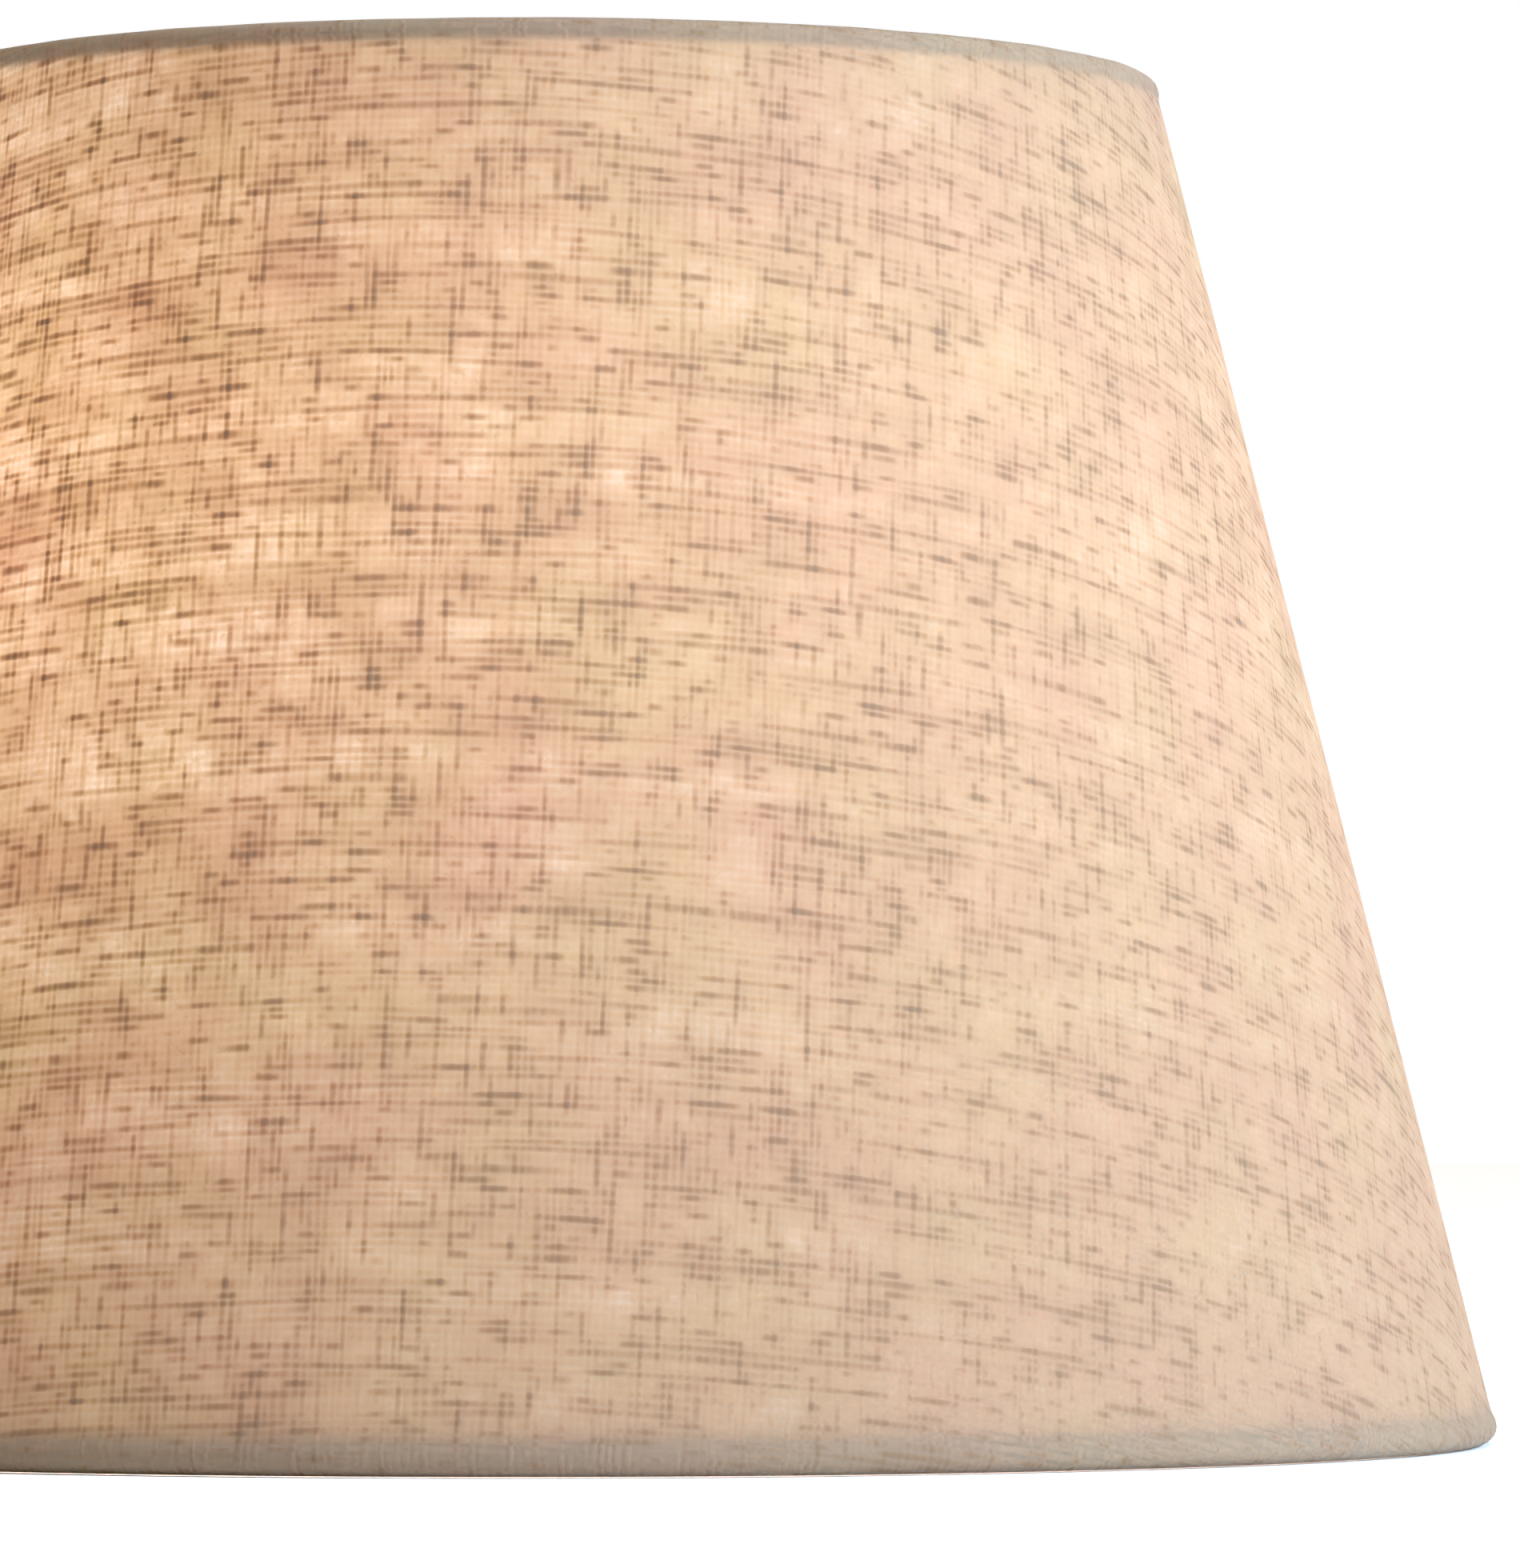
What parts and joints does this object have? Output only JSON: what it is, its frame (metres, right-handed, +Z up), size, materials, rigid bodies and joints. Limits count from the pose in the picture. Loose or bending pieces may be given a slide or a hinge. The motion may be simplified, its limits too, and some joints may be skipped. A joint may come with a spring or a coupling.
{
  "type": "lamp shade",
  "caption": "Tapered drum lamp shade: linen on a stiff translucent liner, hems rolled over wire rings, with a reversible washer fitter and a removable reducer.",
  "frame": {"origin": "on the shade's axis, in the plane that the bottom hem stands on", "axes": "+Z up along the shade's axis; the fitter's two arms and their hinge axis lie along X; the side that is usually looked at faces -Y, and the cover's seam is at the back, 67.6 degrees from +X"},
  "size_m": [0.3492, 0.3492, 0.2477],
  "materials": {
    "linen": "plain weave linen with slubs, natural oatmeal, translucent",
    "liner": "white translucent sheet, satin",
    "tape": "thin adhesive tape",
    "white_wire": "white powder coat",
    "white_plastic": "moulded, satin"
  },
  "bodies": {
    "shade": {"linen_cover": "linen", "bottom_hem": "linen", "top_hem": "linen", "liner_panel": "liner", "seam_tape": "tape", "top_ring": "white_wire", "bottom_ring": "white_wire", "top_ring_tape": "tape", "bottom_ring_tape": "tape", "pivot_lug_left": "white_wire", "pivot_lug_right": "white_wire"},
    "gimbal": {"gimbal_arm_left": "white_wire", "gimbal_arm_right": "white_wire", "gimbal_washer": "white_wire"},
    "reducer": {"reducer_ring": "white_plastic"}
  },
  "joints": [
    {"name": "gimbal_flip", "type": "hinge", "parent": "shade", "child": "gimbal", "pos_m": [0, 0, 0.23905], "axis": [1, 0, 0], "continuous": true},
    {"name": "reducer_lift", "type": "slide", "parent": "gimbal", "child": "reducer", "axis": [0, 0, 1], "range_m": [0, 0.03]}
  ]
}
